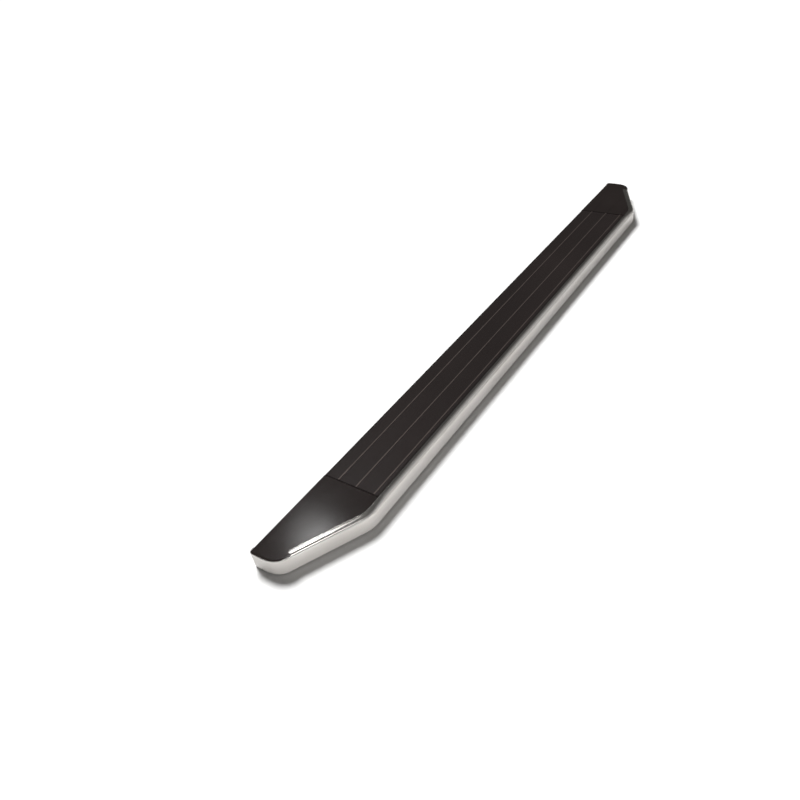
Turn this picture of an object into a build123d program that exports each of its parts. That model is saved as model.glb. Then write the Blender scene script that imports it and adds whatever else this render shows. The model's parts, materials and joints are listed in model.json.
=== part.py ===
from build123d import *
import os
from math import atan2, cos, hypot, radians, sin, tan

os.makedirs("parts", exist_ok=True)

# Running board, lying flat. X runs along the board with the front end at -X, +Y is the inner edge next to
# the vehicle, -Y is the outer face, and Z is up from the underside. Millimetres throughout.

# ---- Overall ----
LENGTH = 1830.0
WIDTH = 160.0
HEIGHT = 43.5  # underside to the top of the tread ribs

# ---- Plan of the two ends, which mirror each other ----
TIP_WIDTH = 69.0  # inner edge to the tip corner
TIP_BEND = 38.0  # distance from the inner edge to where the end starts to sweep back
TIP_SWEEP = 6.0  # how far the tip corner is swept back
TAPER_LENGTH = 185.0  # end of the board to the taper corner on the outer face
INNER_CORNER = 8.0
TIP_BEND_RADIUS = 80.0
TIP_CORNER = 42.0
TAPER_CORNER = 80.0
CAP_LENGTH = 235.0  # end of the board to the seam between cap and deck

# ---- Outer trim, one rolled and bent band ----
BAND = 1.2  # sheet thickness
BAND_BOTTOM = 2.5  # height of the band's lower edge
BAND_BEND = 3.0  # bend at the bottom of the wall
BAND_RETURN = 6.0  # short return under the wall, all the way round
BAND_WRAP = 6.0  # straight length past the inner corners
LIP_WIDTH = 12.0  # wider lip under the sides, which takes the screws
FLANGE_WIDTH = 17.0  # top flange, from the outer face to the rolled edge
FLANGE_TOP = 43.0
TIP_WALL_TOP = 41.5  # the wall stands higher round the tip, where it has no flange
FLANGE_SETBACK = 30.0  # tip corner to the end of the top flange, along the taper
SHOULDER_RADIUS = 6.5
SHOULDER_TILT = 20.0  # slope in degrees where the shoulder meets the crowned flange
SHOULDER_RELIEF = 4.5  # round on what the shoulder covers, small enough to stay inside the sheet
ROLL_RADIUS = 1.6  # rolled inner edge of the flange
TRIM_FIT = 0.3  # clearance between the band and what it covers
OUTSIDE = 30.0  # how far past the outer face the room for the flange is cleared

# ---- Deck extrusion ----
CAP_PROUD = 2.0  # the caps stand this far out of the deck on the inner edge
WALL = 2.0  # side walls
FLOOR = 3.0  # bottom skin, which is also the lip of the nut channels
SKIN = 2.6  # top skin
WEB = 2.0  # inner webs
SEAT = 40.4  # height of the seats under the tread strips
LEDGE = 39.4  # height of the ledge under the trim flange
CELL_CORNER = 1.5
DECK_EDGE = 2.5  # top inner edge of the deck
DECK_CHINE = 6.0  # bottom inner edge of the deck
RAIL_TOP = 42.6
INNER_RAIL = 4.0
OUTER_RAIL = 2.5
CORNER_BLOCK = 8.0  # solid corner above the trim lip, which takes the trim screws
CORNER_BLOCK_WIDTH = 12.7

# ---- Tread ribs and strips ----
RIB_WIDTH = 4.0
FIRST_RIB = 38.5  # inner edge to the first rib
RIB_PITCH = 46.3
RIB_COUNT = 3
RIB_ROUND = 1.2
STRIP_THICKNESS = 2.2
STRIP_FIT = 0.2  # gap along each side of a strip
STRIP_EDGE = 0.6
KEY_NECK = 2.4
KEY_FOOT = 3.6
KEY_DEPTH = 1.4

# ---- Nut channels and slide nuts ----
CHANNEL_Y = (42.0, -30.0)
CHANNEL_NECK = 10.2
CHANNEL_WIDTH = 14.6
CHANNEL_HEIGHT = 7.2
MIDDLE_WEB_Y = 6.0
NUT_LENGTH = 30.0
NUT_SIDE_GAP = 0.5
NUT_LIFT = 0.6  # gap under and over a nut
NUT_THREAD_RADIUS = 3.4  # tapping hole for M8
NUT_EDGE = 0.8
NUT_STATION = 430.0
PLUG_LENGTH = 45.0  # longer than the tongues of the end caps

# ---- Trim fixings ----
TAPE = 1.1  # foam tape between the deck wall and the band
TAPE_HEIGHT = 8.0
TAPE_EDGE_GAP = 1.0
GROOVE_DEPTH = 3.5
GROOVE_HEIGHT = 10.0
GROOVE_CENTRE = 20.0  # height of the middle of the clip groove
CLIP_LENGTH = 24.0
CLIP_COUNT = 7
CLIP_PITCH = 200.0
TRIM_SCREW_INSET = 8.0
TRIM_SCREW_HEAD = 3.5
TRIM_SCREW_HEAD_HEIGHT = 1.8
TRIM_SCREW_SHANK = 1.5
TRIM_SCREW_LENGTH = 9.0
TRIM_SCREW_COUNT = 5
TRIM_SCREW_PITCH = 300.0
TRIM_HOLE_GAP = 0.2
CAP_TRIM_SCREWS = (60.0, 135.0)  # along the taper from the tip corner
BOSS_RADIUS = 4.5

# ---- End caps ----
CAP_TOP = 43.0
CAP_EDGE = 5.0
CAP_WALL = 3.0
CAP_SKIN = 3.0
BULKHEAD = 3.0
CAP_RIB_FADE = 130.0  # length over which the tread ribs die away on a cap
CAP_STIFFENER = 2.2
CAP_STIFFENER_PITCH = 44.0
GASKET = 2.0
TONGUE_LENGTH = 42.0
TONGUE_FIT = 0.3
TONGUE_FLOOR = 4.0
TONGUE_SIDE = 2.5
TONGUE_HEIGHT = 26.0

# ---- Cap screws, from below through the deck floor into the tongues ----
CAP_SCREW_SETBACK = 24.0
CAP_SCREW_HEAD = 4.2
CAP_SCREW_SHANK = 1.9
CAP_SCREW_HEAD_HEIGHT = 2.3
CAP_SCREW_LENGTH = 14.0
CAP_SCREW_RECESS = 0.2
CAP_SCREW_GAP = 0.4

# ---- Places worked out from the sizes above ----
HALF_LENGTH = LENGTH / 2
INNER_Y = WIDTH / 2
OUTER_Y = -WIDTH / 2
DECK_LENGTH = LENGTH - 2 * CAP_LENGTH
DECK_END = DECK_LENGTH / 2
DECK_INNER = INNER_Y - CAP_PROUD
DECK_OUTER = OUTER_Y + BAND + TAPE
LEDGE_Y = OUTER_Y + FLANGE_WIDTH + TRIM_FIT  # where the outer rail of the deck starts
LIP_Y = OUTER_Y + LIP_WIDTH + TRIM_FIT
LIP_TOP = BAND_BOTTOM + BAND + TRIM_FIT
RIB_YS = [INNER_Y - FIRST_RIB - RIB_PITCH * i for i in range(RIB_COUNT)]
CEILING = SEAT - SKIN
LEDGE_CEILING = LEDGE - SKIN
CHANNEL_TOP = FLOOR + CHANNEL_HEIGHT
SHOULDER_RUN = SHOULDER_RADIUS * (1 - sin(radians(SHOULDER_TILT)))
SHOULDER_RISE = SHOULDER_RADIUS * cos(radians(SHOULDER_TILT))
CROWN_RUN = FLANGE_WIDTH - ROLL_RADIUS - SHOULDER_RUN
WALL_TOP = FLANGE_TOP - CROWN_RUN * tan(radians(SHOULDER_TILT / 2)) - SHOULDER_RISE
CAP_SEAM = -DECK_END - GASKET  # the front cap's face

# Hollow cells that a tongue of each end cap plugs into: lowest y and highest y.
HALF_CHANNEL = CHANNEL_WIDTH / 2
WEB_OUT = HALF_CHANNEL + WEB
INNER_CELL = (CHANNEL_Y[0] + WEB_OUT, DECK_INNER - WALL)
MIDDLE_CELL = (MIDDLE_WEB_Y + WEB / 2, CHANNEL_Y[0] - WEB_OUT)
CENTRE_CELL = (CHANNEL_Y[1] + WEB_OUT, MIDDLE_WEB_Y - WEB / 2)
OUTER_CELL = (DECK_OUTER + CORNER_BLOCK_WIDTH, CHANNEL_Y[1] - WEB_OUT)
OUTER_CELL_UPPER = (DECK_OUTER + GROOVE_DEPTH + WALL, CHANNEL_Y[1] - WEB_OUT)
TONGUE_CELLS = (INNER_CELL, MIDDLE_CELL, CENTRE_CELL, OUTER_CELL)
CAP_SCREW_YS = [sum(cell) / 2 for cell in TONGUE_CELLS]


def end_corners(side):
    """Plan corners of one end, from the inner edge to the taper corner; side is -1 at the front."""
    tip_x = side * HALF_LENGTH
    return [
        (tip_x, INNER_Y),
        (tip_x, INNER_Y - TIP_BEND),
        (tip_x - side * TIP_SWEEP, INNER_Y - TIP_WIDTH),
        (tip_x - side * TAPER_LENGTH, OUTER_Y),
    ]


END_RADII = [INNER_CORNER, TIP_BEND_RADIUS, TIP_CORNER, TAPER_CORNER]
TIP_CORNER_AT = end_corners(-1)[2]
TAPER_CORNER_AT = end_corners(-1)[3]
TAPER_RUN = TAPER_CORNER_AT[0] - TIP_CORNER_AT[0]
TAPER_FALL = TAPER_CORNER_AT[1] - TIP_CORNER_AT[1]
TAPER_REACH = hypot(TAPER_RUN, TAPER_FALL)
TAPER_ANGLE = atan2(TAPER_FALL, TAPER_RUN)


def taper_point(side, along, inset=0.0):
    """A plan point beside the taper of one end, along it from the tip corner and inset from the face."""
    x = TIP_CORNER_AT[0] + along * cos(TAPER_ANGLE) - inset * sin(TAPER_ANGLE)
    y = TIP_CORNER_AT[1] + along * sin(TAPER_ANGLE) + inset * cos(TAPER_ANGLE)
    return (-side * x, y)


FRONT_TRIM_SCREWS = [taper_point(-1, along, TRIM_SCREW_INSET) for along in CAP_TRIM_SCREWS]
REAR_TRIM_SCREWS = [(-x, y) for x, y in FRONT_TRIM_SCREWS]
SCREW_MIDDLE = (TRIM_SCREW_COUNT - 1) / 2
DECK_TRIM_SCREWS = [
    ((i - SCREW_MIDDLE) * TRIM_SCREW_PITCH, OUTER_Y + TRIM_SCREW_INSET) for i in range(TRIM_SCREW_COUNT)
]


def band_path():
    """The whole line of the band: inner corner, tip, taper, outer side, and the same again."""
    start = (-HALF_LENGTH + INNER_CORNER + BAND_WRAP, INNER_Y)
    finish = (-start[0], INNER_Y)
    corners = end_corners(-1) + end_corners(1)[::-1]
    return FilletPolyline(start, *corners, finish, radius=END_RADII + END_RADII[::-1])


def flange_path():
    """The part of that line that carries the top flange and the wide lip."""
    return FilletPolyline(
        taper_point(-1, FLANGE_SETBACK),
        end_corners(-1)[3],
        end_corners(1)[3],
        taper_point(1, FLANGE_SETBACK),
        radius=TAPER_CORNER,
    )


def tip_path(side):
    """The part of the band's line round one tip, as far as the end of the flange."""
    start = band_path() @ (0 if side < 0 else 1)
    corners = end_corners(side)[:-1]
    return FilletPolyline(start, *corners, taper_point(side, FLANGE_SETBACK), radius=END_RADII[:-1])


def section_plane(path):
    """Plane across a path at its start: local x is to the left of the path and local y is up."""
    along = path % 0
    return Plane(origin=path @ 0, x_dir=Vector(0, 0, 1).cross(along), z_dir=along)


def plan_face():
    """Plan of the whole board."""
    with BuildSketch() as plan:
        with BuildLine():
            path = band_path()
            Line(path @ 1, path @ 0)
        make_face()
    return plan.sketch


def front_part_of_plan(inset, behind):
    """Plan of the front end as far as a lengthwise position, drawn in from the outside by inset."""
    with BuildSketch() as plan:
        add(plan_face())
        if inset:
            offset(amount=-inset, kind=Kind.INTERSECTION)
        with Locations((behind, 0)):
            Rectangle(LENGTH, 2 * WIDTH, align=(Align.MAX, Align.CENTER), mode=Mode.INTERSECT)
    return plan.sketch


def box_between(xs, ys, zs, mode=Mode.ADD):
    """A box in the part that is open, given by its two limits on each axis."""
    middle = [sum(limits) / 2 for limits in (xs, ys, zs)]
    with Locations(tuple(middle)):
        Box(xs[1] - xs[0], ys[1] - ys[0], zs[1] - zs[0], mode=mode)


def cell(ys, zs):
    """One hollow cell of the deck section, cut from the sketch that is open."""
    with Locations(((ys[0] + ys[1]) / 2, (zs[0] + zs[1]) / 2)):
        RectangleRounded(ys[1] - ys[0], zs[1] - zs[0], CELL_CORNER, mode=Mode.SUBTRACT)


def block(ys, zs, mode=Mode.ADD):
    """A plain rectangle in the sketch that is open, given by its limits."""
    with Locations(((ys[0] + ys[1]) / 2, (zs[0] + zs[1]) / 2)):
        Rectangle(ys[1] - ys[0], zs[1] - zs[0], mode=mode)


def strip_limits():
    """The y limits of the seats between the rails and the ribs, from the inner edge outwards."""
    edges_inwards = [DECK_INNER - INNER_RAIL] + [y - RIB_WIDTH / 2 for y in RIB_YS]
    edges_outwards = [y + RIB_WIDTH / 2 for y in RIB_YS] + [LEDGE_Y + OUTER_RAIL]
    return list(zip(edges_outwards, edges_inwards))


def key_face(centre):
    """The dovetail key under a tread strip, which is also the groove that it is pressed into."""
    with BuildSketch() as key:
        with BuildLine():
            Polyline(
                (centre - KEY_NECK / 2, SEAT),
                (centre - KEY_FOOT / 2, SEAT - KEY_DEPTH),
                (centre + KEY_FOOT / 2, SEAT - KEY_DEPTH),
                (centre + KEY_NECK / 2, SEAT),
                close=True,
            )
        make_face()
    return key.sketch


# ---- Deck extrusion ----
with BuildPart() as deck_extrusion:
    with BuildSketch(Plane.YZ.offset(-DECK_END)):
        block((DECK_OUTER, DECK_INNER), (0, RAIL_TOP))
        block((DECK_OUTER, LEDGE_Y), (LEDGE, RAIL_TOP), Mode.SUBTRACT)
        block((DECK_OUTER, LIP_Y), (0, LIP_TOP), Mode.SUBTRACT)
        for low, high in strip_limits():
            block((low, high), (SEAT, RAIL_TOP), Mode.SUBTRACT)
        for rib_y in RIB_YS:
            with BuildSketch(mode=Mode.PRIVATE) as rib:
                block((rib_y - RIB_WIDTH / 2, rib_y + RIB_WIDTH / 2), (SEAT, HEIGHT))
                fillet(rib.vertices().group_by(Axis.Y)[-1], RIB_ROUND)
            add(rib.sketch)
        cell(INNER_CELL, (FLOOR, CEILING))
        cell(MIDDLE_CELL, (FLOOR, CEILING))
        cell(CENTRE_CELL, (FLOOR, CEILING))
        cell(OUTER_CELL, (FLOOR, LEDGE_CEILING))
        cell(OUTER_CELL_UPPER, (LIP_TOP + CORNER_BLOCK, LEDGE_CEILING))
        for channel_y in CHANNEL_Y:
            limits = (channel_y - HALF_CHANNEL, channel_y + HALF_CHANNEL)
            cell(limits, (CHANNEL_TOP + WEB, CEILING))
            block(limits, (FLOOR, CHANNEL_TOP), Mode.SUBTRACT)
            neck = (channel_y - CHANNEL_NECK / 2, channel_y + CHANNEL_NECK / 2)
            block(neck, (0, FLOOR), Mode.SUBTRACT)
        groove_limits = (GROOVE_CENTRE - GROOVE_HEIGHT / 2, GROOVE_CENTRE + GROOVE_HEIGHT / 2)
        block((DECK_OUTER, DECK_OUTER + GROOVE_DEPTH), groove_limits, Mode.SUBTRACT)
        for low, high in strip_limits():
            add(key_face((low + high) / 2), mode=Mode.SUBTRACT)
    extrude(amount=DECK_LENGTH)
    shoulder_edge = deck_extrusion.edges().filter_by(Axis.X).filter_by_position(Axis.Z, LEDGE, LEDGE)
    fillet(shoulder_edge.sort_by(Axis.Y)[0], SHOULDER_RELIEF)
    fillet(deck_extrusion.edges().filter_by(Axis.X).group_by(Axis.Y)[-1].sort_by(Axis.Z)[-1], DECK_EDGE)
    fillet(deck_extrusion.edges().filter_by(Axis.X).group_by(Axis.Y)[-1].sort_by(Axis.Z)[0], DECK_CHINE)
    for end in (-1, 1):
        for screw_y in CAP_SCREW_YS:
            with Locations(Plane.XY.offset(CAP_SCREW_RECESS)):
                with Locations((end * (DECK_END - CAP_SCREW_SETBACK), screw_y)):
                    Cylinder(CAP_SCREW_SHANK + CAP_SCREW_GAP, 4 * FLOOR, mode=Mode.SUBTRACT)
                    Cone(
                        CAP_SCREW_HEAD + CAP_SCREW_GAP,
                        CAP_SCREW_SHANK + CAP_SCREW_GAP,
                        CAP_SCREW_HEAD_HEIGHT,
                        align=(Align.CENTER, Align.CENTER, Align.MIN),
                        mode=Mode.SUBTRACT,
                    )
                    Cylinder(
                        CAP_SCREW_HEAD + CAP_SCREW_GAP,
                        FLOOR,
                        align=(Align.CENTER, Align.CENTER, Align.MAX),
                        mode=Mode.SUBTRACT,
                    )
    with Locations(Plane.XY.offset(LIP_TOP)):
        with Locations(*DECK_TRIM_SCREWS):
            Cylinder(
                TRIM_SCREW_SHANK,
                BAND_BOTTOM + TRIM_SCREW_LENGTH - LIP_TOP,
                align=(Align.CENTER, Align.CENTER, Align.MIN),
                mode=Mode.SUBTRACT,
            )
deck_extrusion.part.label = "deck_extrusion"
export_step(deck_extrusion.part, "parts/deck_extrusion.step")


# ---- Tread strips, keyed into the deck between the rails and ribs ----
STRIP_NAMES = ("inner", "inner_middle", "outer_middle", "outer")
for strip_name, (low, high) in zip(STRIP_NAMES, strip_limits()):
    with BuildPart() as tread_strip:
        with BuildSketch(Plane.YZ.offset(-DECK_END)) as strip_section:
            block((low + STRIP_FIT, high - STRIP_FIT), (SEAT, SEAT + STRIP_THICKNESS))
            fillet(strip_section.vertices().group_by(Axis.Y)[-1], STRIP_EDGE)
            add(key_face((low + high) / 2))
        extrude(amount=DECK_LENGTH)
    tread_strip.part.label = f"tread_strip_{strip_name}"
    export_step(tread_strip.part, f"parts/tread_strip_{strip_name}.step")


# ---- Outer trim ----
with BuildLine() as wall_line:
    Line((BAND_RETURN, BAND_BOTTOM), (BAND_BEND, BAND_BOTTOM))
    RadiusArc((BAND_BEND, BAND_BOTTOM), (0, BAND_BOTTOM + BAND_BEND), BAND_BEND)
    Line((0, BAND_BOTTOM + BAND_BEND), (0, WALL_TOP))

with BuildLine() as flange_line:
    shoulder = CenterArc((SHOULDER_RADIUS, WALL_TOP), SHOULDER_RADIUS, 180, SHOULDER_TILT - 90)
    TangentArc(shoulder @ 1, (FLANGE_WIDTH - ROLL_RADIUS, FLANGE_TOP), tangent=shoulder % 1)
    roll = CenterArc((FLANGE_WIDTH - ROLL_RADIUS, FLANGE_TOP - ROLL_RADIUS), ROLL_RADIUS, 90, -90)
    Line(roll @ 1, (FLANGE_WIDTH, LEDGE + TRIM_FIT))


def sheet_section(plane, centre_line):
    """The band's section: a line thickened inwards by the thickness of the sheet."""
    with BuildSketch(plane) as section:
        with BuildLine():
            add(centre_line)
            offset(amount=BAND, side=Side.RIGHT, closed=True)
        make_face()
    return section.sketch


def strip_of_section(plane, insets, heights):
    """A plain rectangle across the band's line, given by its insets and heights."""
    with BuildSketch(plane) as section:
        block(insets, heights)
    return section.sketch


whole_line = band_path()
flange_run = flange_path()
tip_runs = [tip_path(-1), tip_path(1)]
whole_plane = section_plane(whole_line)
flange_plane = section_plane(flange_run)

with BuildPart() as outer_trim:
    sweep(sheet_section(whole_plane, wall_line.line), path=whole_line)
    sweep(sheet_section(flange_plane, flange_line.line), path=flange_run)
    sweep(
        strip_of_section(flange_plane, (BAND_BEND, LIP_WIDTH), (BAND_BOTTOM, BAND_BOTTOM + BAND)),
        path=flange_run,
    )
    for tip_run, insets in zip(tip_runs, ((0, BAND), (-BAND, 0))):
        sweep(
            strip_of_section(section_plane(tip_run), insets, (WALL_TOP, TIP_WALL_TOP)),
            path=tip_run,
        )
    with Locations(Plane.XY.offset(BAND_BOTTOM)):
        with Locations(*FRONT_TRIM_SCREWS, *REAR_TRIM_SCREWS, *DECK_TRIM_SCREWS):
            Cylinder(TRIM_SCREW_SHANK + TRIM_HOLE_GAP, 3 * BAND, mode=Mode.SUBTRACT)
outer_trim.part.label = "outer_trim"
export_step(outer_trim.part, "parts/outer_trim.step")

# The space that the caps leave free for the band: wall with its bottom bend, lip, and top flange.
with BuildPart() as trim_space:
    with BuildSketch(whole_plane) as behind_wall:
        block((-BAND, BAND + TRIM_FIT), (-BAND, TIP_WALL_TOP + TRIM_FIT))
        block((-BAND, BAND_BEND), (-BAND, BAND_BOTTOM + BAND_BEND))
        block((-BAND, BAND_RETURN + TRIM_FIT), (-BAND, LIP_TOP))
    sweep(behind_wall.sketch, path=whole_line)
    sweep(
        strip_of_section(flange_plane, (-BAND, LIP_WIDTH + TRIM_FIT), (-BAND, LIP_TOP)),
        path=flange_run,
    )
    with BuildSketch(flange_plane) as above_ledge:
        block((-OUTSIDE, FLANGE_WIDTH + TRIM_FIT), (LEDGE - 2 * SHOULDER_RELIEF, HEIGHT + BAND))
        with BuildSketch(mode=Mode.PRIVATE) as covered:
            block((BAND + TRIM_FIT, 2 * FLANGE_WIDTH), (0, LEDGE))
            fillet(covered.vertices().group_by(Axis.X)[0].sort_by(Axis.Y)[-1], SHOULDER_RELIEF)
        add(covered.sketch, mode=Mode.SUBTRACT)
    sweep(above_ledge.sketch, path=flange_run)


# ---- End caps: a moulded shell, closed by a bulkhead with tongues that plug into the deck ----
SHELL_INSET = BAND + TRIM_FIT + CAP_WALL
CROWN_INSET = FLANGE_WIDTH + TRIM_FIT + CAP_WALL
CAVITY_END = CAP_SEAM - BULKHEAD
STIFFENER_COUNT = int((CAP_LENGTH - BULKHEAD) / CAP_STIFFENER_PITCH)


def cavity_plan(inset):
    """Plan of the hollow under a cap, with its stiffeners and screw bosses left standing."""
    with BuildSketch() as plan:
        add(front_part_of_plan(inset, CAVITY_END))
        with Locations((CAVITY_END - CAP_LENGTH / 2, MIDDLE_WEB_Y)):
            Rectangle(2 * CAP_LENGTH, CAP_STIFFENER, mode=Mode.SUBTRACT)
        for i in range(1, STIFFENER_COUNT + 1):
            with Locations((CAVITY_END - i * CAP_STIFFENER_PITCH, 0)):
                Rectangle(CAP_STIFFENER, 2 * WIDTH, mode=Mode.SUBTRACT)
        with Locations(*FRONT_TRIM_SCREWS):
            Circle(BOSS_RADIUS, mode=Mode.SUBTRACT)
    return plan.sketch


with BuildPart() as front_end_cap:
    add(front_part_of_plan(0, CAP_SEAM))
    extrude(amount=CAP_TOP)
    top_rim = front_end_cap.faces().sort_by(Axis.Z)[-1].edges()
    fillet([edge for edge in top_rim if edge.center().X < CAP_SEAM - GASKET], CAP_EDGE)
    add(cavity_plan(SHELL_INSET))
    extrude(amount=LEDGE - CAP_SKIN, mode=Mode.SUBTRACT)
    add(cavity_plan(CROWN_INSET))
    extrude(amount=CAP_TOP - CAP_SKIN, mode=Mode.SUBTRACT)
    for rib_y in RIB_YS:
        with BuildSketch(Plane.XZ.offset(-rib_y - RIB_WIDTH / 2)) as fading_rib:
            with BuildLine():
                Polyline(
                    (CAP_SEAM, HEIGHT),
                    (CAP_SEAM, CAP_TOP - CAP_SKIN / 2),
                    (CAP_SEAM - CAP_RIB_FADE, CAP_TOP - CAP_SKIN / 2),
                    (CAP_SEAM - CAP_RIB_FADE, CAP_TOP),
                    close=True,
                )
            make_face()
        extrude(amount=RIB_WIDTH)
    add(trim_space.part, mode=Mode.SUBTRACT)
    for (low, high), screw_y in zip(TONGUE_CELLS, CAP_SCREW_YS):
        base = FLOOR + TONGUE_FIT
        with BuildSketch(Plane.YZ.offset(CAP_SEAM)) as tongue:
            sides = (low + TONGUE_FIT, high - TONGUE_FIT)
            block(sides, (base, base + TONGUE_HEIGHT))
            fillet(tongue.vertices().group_by(Axis.Y)[0], CELL_CORNER)
            hollow = (sides[0] + TONGUE_SIDE, sides[1] - TONGUE_SIDE)
            block(hollow, (base + TONGUE_FLOOR, base + 2 * TONGUE_HEIGHT), Mode.SUBTRACT)
        extrude(amount=GASKET + TONGUE_LENGTH)
        with Locations((-DECK_END + CAP_SCREW_SETBACK, screw_y, base)):
            Cylinder(
                BOSS_RADIUS,
                CAP_SCREW_LENGTH - base,
                align=(Align.CENTER, Align.CENTER, Align.MIN),
            )
            Cylinder(CAP_SCREW_SHANK, 2 * CAP_SCREW_LENGTH, mode=Mode.SUBTRACT)
    for point in FRONT_TRIM_SCREWS:
        with Locations((*point, 0)):
            Cylinder(
                TRIM_SCREW_SHANK,
                BAND_BOTTOM + TRIM_SCREW_LENGTH,
                align=(Align.CENTER, Align.CENTER, Align.MIN),
                mode=Mode.SUBTRACT,
            )
front_end_cap.part.label = "front_end_cap"
export_step(front_end_cap.part, "parts/front_end_cap.step")

with BuildPart() as rear_end_cap:
    mirror(front_end_cap.part, about=Plane.YZ)
rear_end_cap.part.label = "rear_end_cap"
export_step(rear_end_cap.part, "parts/rear_end_cap.step")


# ---- Gaskets between the caps and the deck, cut out round the tongues ----
with BuildPart() as front_gasket:
    with BuildSketch(Plane.YZ.offset(CAP_SEAM)) as gasket_face:
        block((DECK_OUTER, DECK_INNER), (0, SEAT))
        block((DECK_OUTER, LEDGE_Y), (LEDGE, SEAT), Mode.SUBTRACT)
        block((DECK_OUTER, LIP_Y), (0, LIP_TOP), Mode.SUBTRACT)
        fillet(gasket_face.vertices().group_by(Axis.X)[-1].sort_by(Axis.Y)[0], DECK_CHINE)
        fillet(gasket_face.vertices().group_by(Axis.X)[0].sort_by(Axis.Y)[-1], SHOULDER_RELIEF)
        for low, high in TONGUE_CELLS:
            block((low, high), (FLOOR, FLOOR + TONGUE_FIT + TONGUE_HEIGHT + TONGUE_FIT), Mode.SUBTRACT)
    extrude(amount=GASKET)
front_gasket.part.label = "front_gasket"
export_step(front_gasket.part, "parts/front_gasket.step")

with BuildPart() as rear_gasket:
    mirror(front_gasket.part, about=Plane.YZ)
rear_gasket.part.label = "rear_gasket"
export_step(rear_gasket.part, "parts/rear_gasket.step")


# ---- Screws ----
with BuildPart(mode=Mode.PRIVATE) as cap_screw:
    Cone(
        CAP_SCREW_HEAD,
        CAP_SCREW_SHANK,
        CAP_SCREW_HEAD_HEIGHT,
        align=(Align.CENTER, Align.CENTER, Align.MIN),
    )
    Cylinder(
        CAP_SCREW_SHANK,
        CAP_SCREW_LENGTH - CAP_SCREW_RECESS,
        align=(Align.CENTER, Align.CENTER, Align.MIN),
    )

with BuildPart(mode=Mode.PRIVATE) as trim_screw:
    Cylinder(
        TRIM_SCREW_HEAD,
        TRIM_SCREW_HEAD_HEIGHT,
        align=(Align.CENTER, Align.CENTER, Align.MAX),
    )
    fillet(trim_screw.edges().group_by(Axis.Z)[0], TRIM_SCREW_HEAD_HEIGHT / 2)
    Cylinder(
        TRIM_SCREW_SHANK,
        TRIM_SCREW_LENGTH,
        align=(Align.CENTER, Align.CENTER, Align.MIN),
    )

SCREW_GROUPS = {
    "front_cap_screws": (
        cap_screw,
        CAP_SCREW_RECESS,
        [(CAP_SCREW_SETBACK - DECK_END, y) for y in CAP_SCREW_YS],
    ),
    "rear_cap_screws": (
        cap_screw,
        CAP_SCREW_RECESS,
        [(DECK_END - CAP_SCREW_SETBACK, y) for y in CAP_SCREW_YS],
    ),
    "front_trim_screws": (trim_screw, BAND_BOTTOM, FRONT_TRIM_SCREWS),
    "rear_trim_screws": (trim_screw, BAND_BOTTOM, REAR_TRIM_SCREWS),
    "deck_trim_screws": (trim_screw, BAND_BOTTOM, DECK_TRIM_SCREWS),
}
for group_name, (screw, seat_height, places) in SCREW_GROUPS.items():
    with BuildPart() as screw_group:
        for place in places:
            with Locations((*place, seat_height)):
                add(screw.part)
    screw_group.part.label = group_name
    export_step(screw_group.part, f"parts/{group_name}.step")


# ---- Trim clips in the deck's groove, and the foam tape above and below them ----
with BuildPart() as trim_clips:
    for i in range(CLIP_COUNT):
        clip_x = (i - (CLIP_COUNT - 1) / 2) * CLIP_PITCH
        box_between(
            (clip_x - CLIP_LENGTH / 2, clip_x + CLIP_LENGTH / 2),
            (OUTER_Y + BAND, DECK_OUTER + GROOVE_DEPTH),
            (GROOVE_CENTRE - GROOVE_HEIGHT / 2, GROOVE_CENTRE + GROOVE_HEIGHT / 2),
        )
trim_clips.part.label = "trim_clips"
export_step(trim_clips.part, "parts/trim_clips.step")

with BuildPart() as trim_tape:
    below_groove = GROOVE_CENTRE - GROOVE_HEIGHT / 2 - TAPE_EDGE_GAP
    above_groove = GROOVE_CENTRE + GROOVE_HEIGHT / 2 + TAPE_EDGE_GAP
    tape_limits = (OUTER_Y + BAND, DECK_OUTER)
    box_between((-DECK_END, DECK_END), tape_limits, (below_groove - TAPE_HEIGHT, below_groove))
    box_between((-DECK_END, DECK_END), tape_limits, (above_groove, above_groove + TAPE_HEIGHT))
trim_tape.part.label = "trim_tape"
export_step(trim_tape.part, "parts/trim_tape.step")


# ---- Slide nuts, which run along the channels, and the plugs that close the channels ----
NUT_WIDTH = CHANNEL_WIDTH - 2 * NUT_SIDE_GAP
NUT_HEIGHT = CHANNEL_HEIGHT - 2 * NUT_LIFT
for row_name, channel_y in zip(("inner", "outer"), CHANNEL_Y):
    for place_name, station in zip(("front", "middle", "rear"), (-NUT_STATION, 0.0, NUT_STATION)):
        with BuildPart() as slide_nut:
            box_between(
                (station - NUT_LENGTH / 2, station + NUT_LENGTH / 2),
                (channel_y - NUT_WIDTH / 2, channel_y + NUT_WIDTH / 2),
                (FLOOR + NUT_LIFT, FLOOR + NUT_LIFT + NUT_HEIGHT),
            )
            chamfer(slide_nut.edges().filter_by(Axis.Z), NUT_EDGE)
            with Locations((station, channel_y, FLOOR)):
                Cylinder(NUT_THREAD_RADIUS, 3 * CHANNEL_HEIGHT, mode=Mode.SUBTRACT)
        nut_name = f"{row_name}_slide_nut_{place_name}"
        slide_nut.part.label = nut_name
        export_step(slide_nut.part, f"parts/{nut_name}.step")

for end_name, end in (("front", -1), ("rear", 1)):
    with BuildPart() as channel_plugs:
        for channel_y in CHANNEL_Y:
            length_limits = sorted((end * DECK_END, end * (DECK_END - PLUG_LENGTH)))
            box_between(
                length_limits,
                (channel_y - HALF_CHANNEL, channel_y + HALF_CHANNEL),
                (FLOOR, CHANNEL_TOP),
            )
            box_between(
                length_limits,
                (channel_y - CHANNEL_NECK / 2, channel_y + CHANNEL_NECK / 2),
                (0, FLOOR),
            )
    channel_plugs.part.label = f"{end_name}_channel_plugs"
    export_step(channel_plugs.part, f"parts/{end_name}_channel_plugs.step")
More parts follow.
